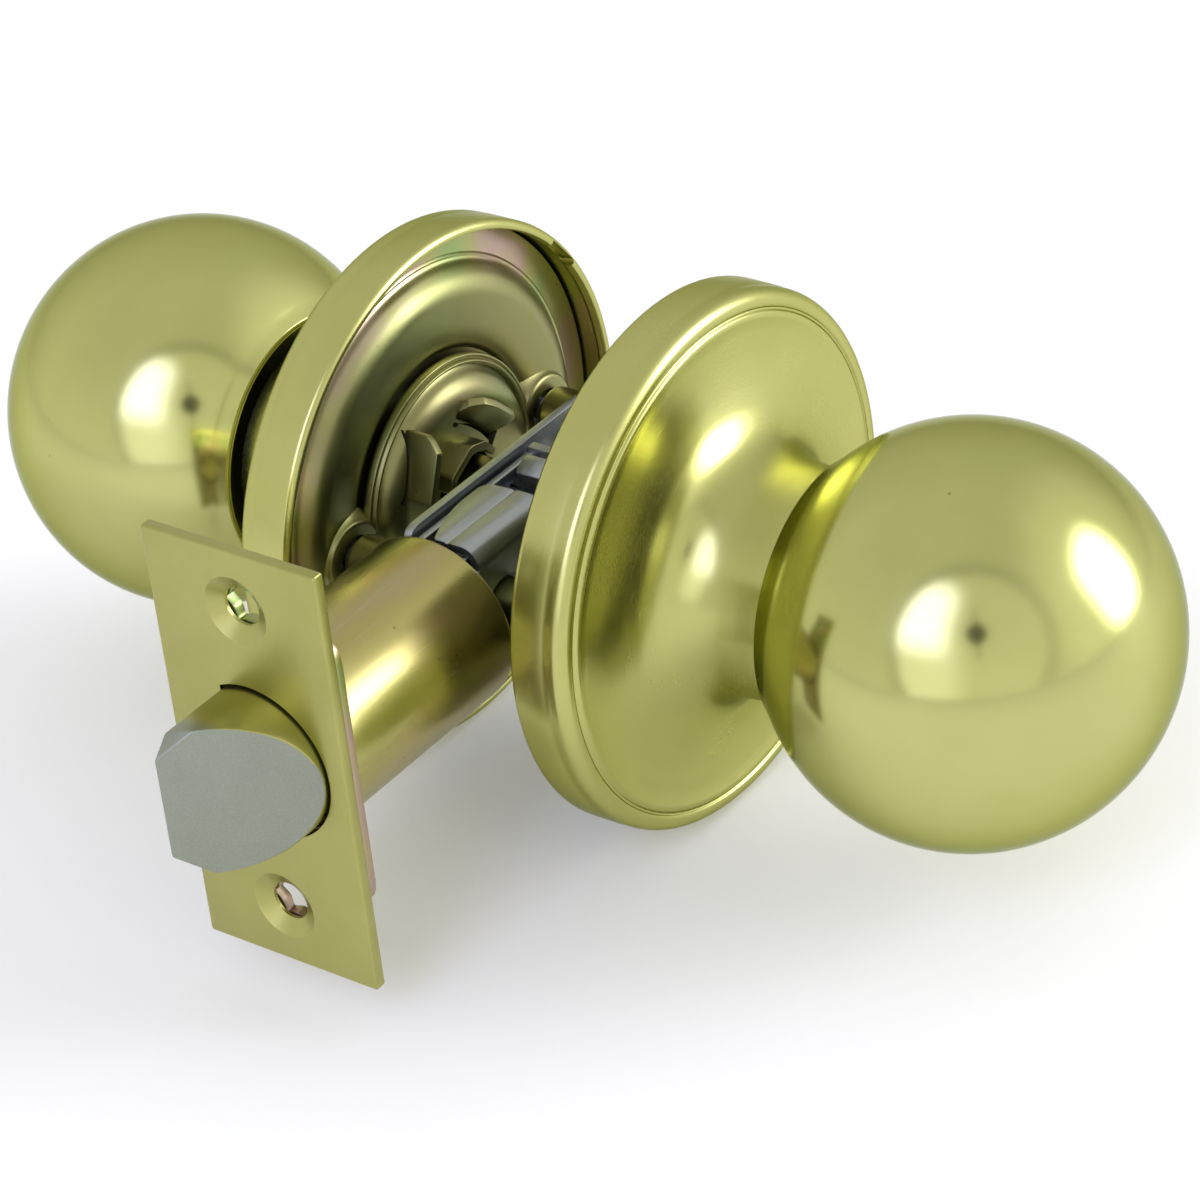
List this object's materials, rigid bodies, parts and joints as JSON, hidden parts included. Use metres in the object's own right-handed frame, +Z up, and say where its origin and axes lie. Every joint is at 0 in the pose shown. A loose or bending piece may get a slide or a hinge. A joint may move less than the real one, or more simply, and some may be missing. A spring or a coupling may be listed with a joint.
{
  "type": "door knob",
  "caption": "Passage door knob set: two round brass ball knobs on round roses, joined by a square spindle through a tubular spring latch.",
  "frame": {"origin": "where the spindle axis crosses the latch axis, at the middle of the door's thickness", "axes": "+Y along the spindle towards the inside knob, -X along the latch towards the door's edge and the faceplate, +Z up"},
  "size_m": [0.1067, 0.168, 0.068],
  "materials": {
    "polished_brass": "polished brass plate under clear lacquer",
    "satin_brass": "satin brass plate",
    "yellow_chromate": "steel, zinc plated with an iridescent yellow chromate",
    "bright_zinc": "steel, bright zinc plated",
    "spring_steel": "oiled spring steel",
    "nylon": "natural nylon"
  },
  "bodies": {
    "door_hardware": {"outside_rose_cover": "polished_brass", "outside_rose_bushing": "nylon", "outside_mounting_plate": "yellow_chromate", "outside_hub_cap": "yellow_chromate", "outside_return_spring": "spring_steel", "inside_rose_cover": "polished_brass", "inside_rose_bushing": "nylon", "inside_mounting_plate": "yellow_chromate", "inside_hub_cap": "yellow_chromate", "inside_return_spring": "spring_steel", "front_screw_post": "yellow_chromate", "rear_screw_post": "yellow_chromate", "front_mounting_screw": "bright_zinc", "rear_mounting_screw": "bright_zinc", "latch_faceplate": "satin_brass", "latch_backing_plate": "yellow_chromate", "latch_tube": "yellow_chromate", "latch_case_inner_side": "bright_zinc", "latch_case_outer_side": "bright_zinc", "latch_case_upper_spacer": "bright_zinc", "latch_case_lower_spacer": "bright_zinc", "latch_spring_seat": "bright_zinc", "latch_spring": "spring_steel"},
    "outside_knob": {"outside_knob_ball": "polished_brass", "outside_knob_insert": "yellow_chromate", "outside_knob_shank": "yellow_chromate", "outside_spindle_driver": "bright_zinc", "outside_retaining_ring": "spring_steel", "spindle": "yellow_chromate"},
    "inside_knob": {"inside_knob_ball": "polished_brass", "inside_knob_insert": "yellow_chromate", "inside_knob_shank": "yellow_chromate", "inside_spindle_driver": "bright_zinc", "inside_retaining_ring": "spring_steel", "knob_catch": "spring_steel"},
    "latch_cam": {"latch_hub": "bright_zinc"},
    "sliding_bolt": {"latch_bolt": "satin_brass", "latch_retractor": "bright_zinc", "latch_spring_guide": "bright_zinc"}
  },
  "joints": [
    {"name": "outside_knob_turn", "type": "hinge", "parent": "door_hardware", "child": "outside_knob", "pos_m": [0, 0, 0], "axis": [0, 1, 0], "range_deg": [0, 70], "stiffness_Nm_per_rad": 0.2, "springref_deg": -51.57},
    {"name": "inside_knob_turn", "type": "hinge", "parent": "door_hardware", "child": "inside_knob", "pos_m": [0, 0, 0], "axis": [0, 1, 0], "range_deg": [0, 70]},
    {"name": "latch_hub_turn", "type": "hinge", "parent": "door_hardware", "child": "latch_cam", "pos_m": [0, 0, 0], "axis": [0, 1, 0], "range_deg": [0, 70]},
    {"name": "bolt_slide", "type": "slide", "parent": "door_hardware", "child": "sliding_bolt", "axis": [1, 0, 0], "range_m": [0, 0.01222], "deforming": ["latch_spring"]}
  ],
  "couplings": [
    {"joint": "inside_knob_turn", "follows": "outside_knob_turn", "ratio": 1},
    {"joint": "latch_hub_turn", "follows": "outside_knob_turn", "ratio": 1},
    {"joint": "bolt_slide", "follows": "outside_knob_turn", "m_per_rad": 0.01}
  ]
}
